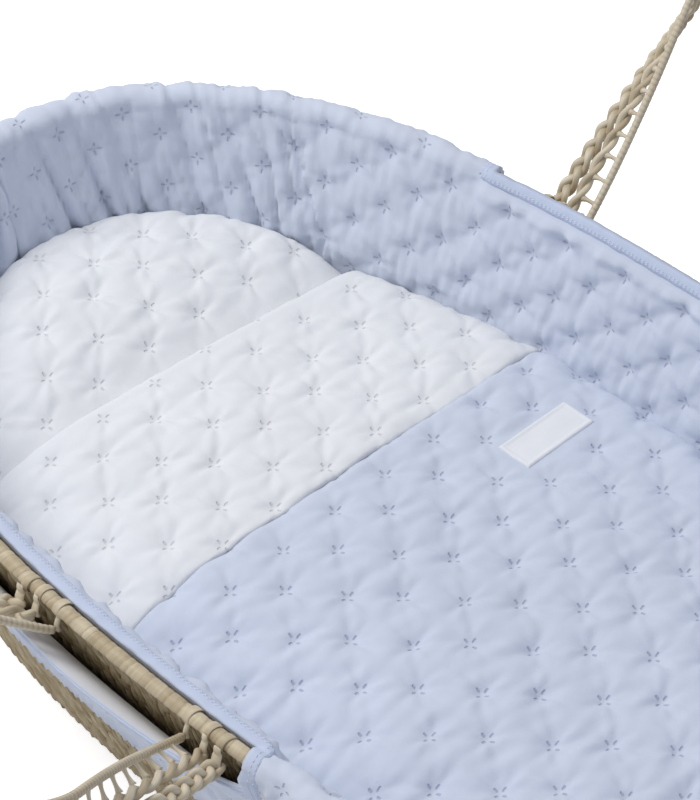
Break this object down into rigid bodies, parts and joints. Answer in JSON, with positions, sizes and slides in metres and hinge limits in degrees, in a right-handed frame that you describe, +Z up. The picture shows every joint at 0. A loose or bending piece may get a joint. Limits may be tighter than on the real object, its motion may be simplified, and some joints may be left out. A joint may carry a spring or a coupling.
{
  "type": "moses basket",
  "caption": "Oval woven palm moses basket with a quilted liner and skirt, mattress, quilted coverlet, pillow and carrying handles that swing on the rim.",
  "frame": {"origin": "on the floor, under the middle of the basket's rim and base", "axes": "+Z up, +Y to the head end where the pillow lies, +X to the right-hand side seen from the foot"},
  "size_m": [0.8875, 0.82, 0.4038],
  "materials": {
    "palm": "woven palm leaf, dry and matt",
    "palm_husk": "maize husk wound flat",
    "palm_handle": "plaited and twisted palm leaf",
    "blue_quilt": "pale blue poly-cotton, padded and tufted",
    "white_quilt": "white poly-cotton, padded and tufted",
    "white_cotton": "plain white cotton",
    "blue_binding": "smooth blue bias binding, double stitched",
    "foam": "cream open-cell foam",
    "elastic": "covered elastic",
    "patch": "plain woven patch, blank"
  },
  "bodies": {
    "basket": {"basket_base": "palm", "basket_wall": "palm", "rim_core": "palm", "rim_wrap": "palm_husk", "liner_floor": "white_cotton", "liner_panel_right": "blue_quilt", "liner_panel_left": "blue_quilt", "skirt_head": "blue_quilt", "skirt_foot": "blue_quilt", "skirt_side_right": "blue_quilt", "skirt_side_left": "blue_quilt", "slot_binding_right": "blue_binding", "slot_binding_left": "blue_binding", "hem_elastic": "elastic", "mattress_core": "foam", "fitted_sheet": "white_cotton", "pillow": "white_quilt", "coverlet": "blue_quilt", "coverlet_band": "white_quilt", "label_patch": "patch", "lashing_right_head": "palm_husk", "lashing_right_foot": "palm_husk", "lashing_left_head": "palm_husk", "lashing_left_foot": "palm_husk"},
    "handle_right": {"handle_right_plait": "palm_handle", "handle_right_twist": "palm_handle", "handle_right_cord": "palm_handle"},
    "handle_left": {"handle_left_plait": "palm_handle", "handle_left_twist": "palm_handle", "handle_left_cord": "palm_handle"}
  },
  "joints": [
    {"name": "handle_right_swing", "type": "hinge", "parent": "basket", "child": "handle_right", "pos_m": [0.22312, 0.033, 0.22], "axis": [-0.0243, 0.9997, 0], "range_deg": [-96, 28]},
    {"name": "handle_left_swing", "type": "hinge", "parent": "basket", "child": "handle_left", "pos_m": [-0.22355, 0.013, 0.22], "axis": [-0.0086, -1, 0], "range_deg": [-107, 17]}
  ]
}
